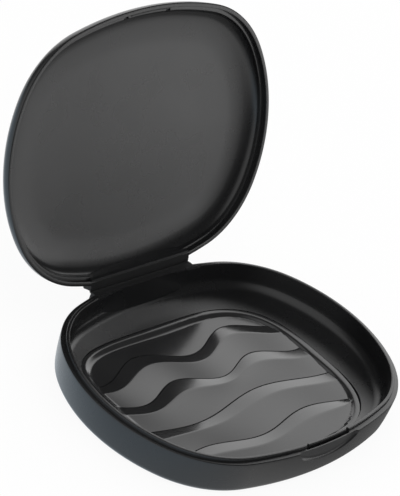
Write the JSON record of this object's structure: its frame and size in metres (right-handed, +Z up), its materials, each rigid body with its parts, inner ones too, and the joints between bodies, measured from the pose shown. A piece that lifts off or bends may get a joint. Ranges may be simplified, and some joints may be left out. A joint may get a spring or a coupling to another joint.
{
  "type": "retainer case",
  "caption": "Slim oval clamshell case for an orthodontic retainer, shown open: hinged domed lid, shallow base with a raised lip, waved drying tray and a flexing front latch with a thumb notch.",
  "frame": {"origin": "middle of the flat foot of the base, on the surface it rests on", "axes": "X along the hinge, -Y out of the latch at the front, +Y out of the hinge at the rear, +Z up"},
  "size_m": [0.09, 0.0954, 0.0741],
  "materials": {
    "shell": "fine satin moulded charcoal plastic",
    "tray": "smooth glossy black plastic"
  },
  "bodies": {
    "base": {"base_shell": "shell", "wave_tray": "tray", "base_hinge_leaf": "shell", "hinge_web": "shell"},
    "latch": {"latch_tongue": "shell"},
    "lid": {"lid_hinge_leaf": "shell", "lid_shell": "shell", "lid_catch": "shell"}
  },
  "joints": [
    {"name": "lid_hinge", "type": "hinge", "parent": "base", "child": "lid", "pos_m": [0, 0.0343, 0.00956], "axis": [1, 0, 0], "range_deg": [-70, 110], "deforming": ["hinge_web"]},
    {"name": "latch_flex", "type": "hinge", "parent": "base", "child": "latch", "pos_m": [0, -0.03272, 0.00668], "axis": [-1, 0, 0], "range_deg": [0, 6], "stiffness_Nm_per_rad": 0.02}
  ]
}
